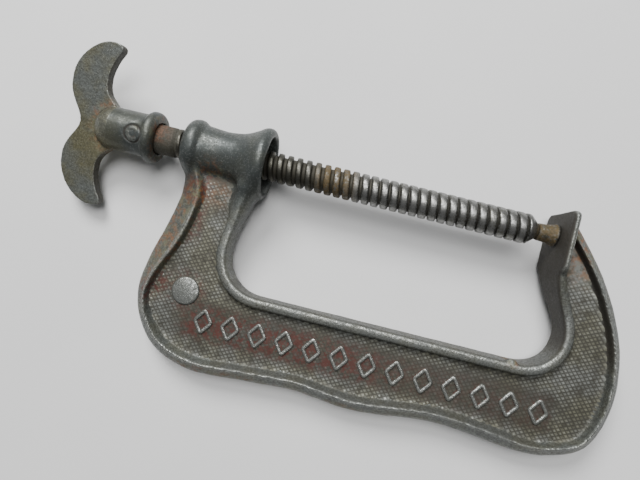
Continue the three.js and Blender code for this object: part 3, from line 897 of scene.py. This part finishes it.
def handle():
    quarter = np.linspace(math.pi, math.pi / 2, 14)
    dome = [(HUB_CENTRE + HUB_RADIUS * math.cos(a), HUB_RADIUS * math.sin(a)) for a in quarter]
    dome[0] = (dome[0][0], 0.01)
    collar = [
        (-186, 9.8), (-184.9, 10.0), (-184.1, 10.1), (-183.7, 10.9), (-183.1, 11.4), (-182.2, 11.7),
        (-181.1, 11.6), (-180, 11.2), (-179, 10.2), (HUB_FACE, 9.0), (HUB_FACE, 7.1),
        (-199.4, 7.1), (-199.4, 0.01),
    ]  # fmt: skip
    body = joined(prism(wing_outline(), WING_HALF), turned(dome + collar, 96))
    mesh = fused("handle", body, HANDLE_VOXEL, 3)
    co, out = positions(mesh), normals(mesh)
    rough = 0.10 * lumps(co, 7, 11) + 0.05 * lumps(co, 2.2, 12) + 0.03 * lumps(co, 0.9, 13)
    from_rivet = np.hypot(co[:, 0] - RIVET_AT, co[:, 1])
    groove = np.exp(-(((from_rivet - RIVET_RADIUS - 0.3) / 0.45) ** 2)) * (np.abs(co[:, 2]) > 7)
    set_positions(mesh, co + out * (rough - 0.6 * groove)[:, None])
    mark_edges(mesh, 12, 0.3)
    # Painted shade in the groove round the rivet and on the wing's side walls facing the clamp.
    inner = smoothstep(out[:, 0], 0.1, 0.7) * smoothstep(np.abs(co[:, 1]), 10, 15)
    store(mesh, "painted_shade", np.maximum(groove, 0.8 * inner))
    to_hub = np.hypot(co[:, 1] * 0.9, co[:, 0] - HUB_CENTRE)
    junction = np.exp(-(((to_hub - 10.5) / 2) ** 2)) * (co[:, 0] < -198)
    store(mesh, "rust", 0.5 * junction + 0.5 * smoothstep(co[:, 0], HUB_FACE - 1.6, HUB_FACE - 0.4))
    store(mesh, "stain", 0.8 * np.clip(1.3 - np.hypot(co[:, 0] + 207, co[:, 1] + 11) / 14, 0, 1))
    store(mesh, "smooth", (co[:, 0] > -200) * 1.0)
    return mesh


def rivet():
    """The cross-pin, hammered over: a low rough head at each end."""
    end = HUB_RADIUS + 0.1
    head = [
        (end - 0.15, 0.01), (end - 0.1, 0.9), (end + 0.1, 1.7), (end + 0.15, 2.4),
        (end - 0.1, 3.1), (end - 0.8, RIVET_RADIUS),
    ]  # fmt: skip
    profile = [(-h, r) for h, r in head] + head[::-1]
    points, faces = turned(profile, 40)
    points = [(RIVET_AT + z, y, x) for x, y, z in points]
    mesh = mesh_of("rivet", (points, [f[::-1] for f in faces]))
    co, out = positions(mesh), normals(mesh)
    dents = lumps(co, 0.9, 21)
    set_positions(mesh, co + out * (0.18 * dents)[:, None])
    middle = np.hypot(co[:, 0] - RIVET_AT - 0.4, co[:, 1] + 0.5)
    store(mesh, "edge", 0.5 * dents)
    # Painted shade: a dark patch near the middle of each head.
    store(mesh, "painted_shade", 1 - smoothstep(middle, 1.0, 2.1))
    return mesh


def button():
    """The pad on the tip: a short flaring cup, rusty, its rim worn bright."""
    profile = [
        (-1.7, 0.01), (-2.4, 1.8), (-4.9, 3.0), (-6.8, 2.5), (-7.6, 2.3), (-8.3, 2.3), (-8.3, 3.3),
        (-8.0, 3.7), (-6, 3.8), (-4, 4.0), (-2.4, 4.4), (-1.4, 4.75), (-0.8, 4.8), (-0.4, 4.6),
        (-GAP, 4.2), (-GAP, 0.01),
    ]  # fmt: skip
    mesh = mesh_of("button", turned(profile, 64))
    co, out = positions(mesh), normals(mesh)
    set_positions(mesh, co + out * (0.06 * lumps(co, 1.2, 31))[:, None])
    store(mesh, "edge", np.exp(-(((co[:, 0] + 1.0) / 0.5) ** 2)) * 0.9)
    store(mesh, "rust", np.where(co[:, 0] > -1.3, 0.25, 0.95))
    return mesh


frame_iron = iron("cast_iron_patina", olive=0.4)
handle_iron = iron("handle_iron_patina", olive=0.7, shine=0.8)
web_iron = knurled("knurled_web")
mark_iron = iron("raised_mark_iron", olive=0.2)
screw_steel = steel("thread_steel")
rivet_steel = iron("rivet_patina", olive=0.6, shine=0.6)
button_steel = steel("button_steel", rusty=0.6)

casting_mesh = casting()
faces_of_casting = BVHTree.FromPolygons(
    [v.co for v in casting_mesh.vertices], [p.vertices for p in casting_mesh.polygons]
)
piece("web_knurl_top", knurl(1, faces_of_casting), "casting", web_iron)
piece("web_knurl_under", knurl(-1, faces_of_casting), "casting", web_iron)
piece("casting_body", casting_mesh, "casting", frame_iron, ["frame"])
piece("raised_marks", marks(), "casting", mark_iron)
piece("threaded_screw", screw(), "screw", screw_steel, ["screw"], HANDLE_TURN)
piece("wing_casting", handle(), "screw", handle_iron, ["wing_handle"], HANDLE_TURN)
piece("peened_rivet", rivet(), "screw", rivet_steel, ["handle_rivet"], HANDLE_TURN)
piece("tip_button", button(), "button", button_steel, ["swivel_button"])


# ---- table, light and camera ----


def table():
    mesh = mesh_of("table", prism([(-3000, -3000), (3000, -3000), (3000, 3000), (-3000, 3000)], 5))
    mesh.transform(Matrix.Translation((0, 0, -0.005)) @ Matrix.Scale(0.001, 4))
    p = Paint("pale_table")
    tone = p.noise(160, 3)
    color = p.mix(p.between(tone, 0.3, 0.7), (0.70, 0.70, 0.70), (0.74, 0.74, 0.735))
    mesh.materials.append(p.finish(color, 0.0, 0.75, p.bump(p.noise(1.2, 3), 0.08, 0.1)))
    obj = bpy.data.objects.new("table", mesh)
    bpy.context.scene.collection.objects.link(obj)


def lamp(name, at, aim, size, power):
    light = bpy.data.lights.new(name, "AREA")
    light.shape = "DISK"
    light.size = size
    light.energy = power
    obj = bpy.data.objects.new(name, light)
    obj.location = at
    obj.rotation_euler = (Vector(aim) - Vector(at)).to_track_quat("-Z", "Y").to_euler()
    bpy.context.scene.collection.objects.link(obj)


def sky(strength):
    world = bpy.data.worlds.new("soft_room")
    world.use_nodes = True
    background = world.node_tree.nodes["Background"]
    background.inputs["Color"].default_value = (0.97, 0.985, 1.0, 1)
    background.inputs["Strength"].default_value = strength
    bpy.context.scene.world = world


def camera(at, forward, up, lens):
    """A camera that looks along forward from a point, with up towards the top of its view."""
    back_axis = -Vector(forward).normalized()
    right = Vector(up).cross(back_axis).normalized()
    top = back_axis.cross(right)
    turn = Matrix((right, top, back_axis)).transposed().to_4x4()
    data = bpy.data.cameras.new("camera")
    data.lens = lens
    data.sensor_width = 36
    data.clip_start = 0.01
    obj = bpy.data.objects.new("camera", data)
    obj.matrix_world = Matrix.Translation(at) @ turn
    bpy.context.scene.collection.objects.link(obj)
    bpy.context.scene.camera = obj


table()
sky(0.15)
lamp("window", (-0.40, 0.82, 0.95), (0, 0, 0), 0.6, 22)
lamp("ceiling", (0.05, 0.30, 1.4), (0, 0, 0), 0.8, 15)
camera((0.0096, -0.0184, 0.221), (-0.0688, 0.1063, -0.992), (-0.2454, 0.962, 0.1201), 26.72)
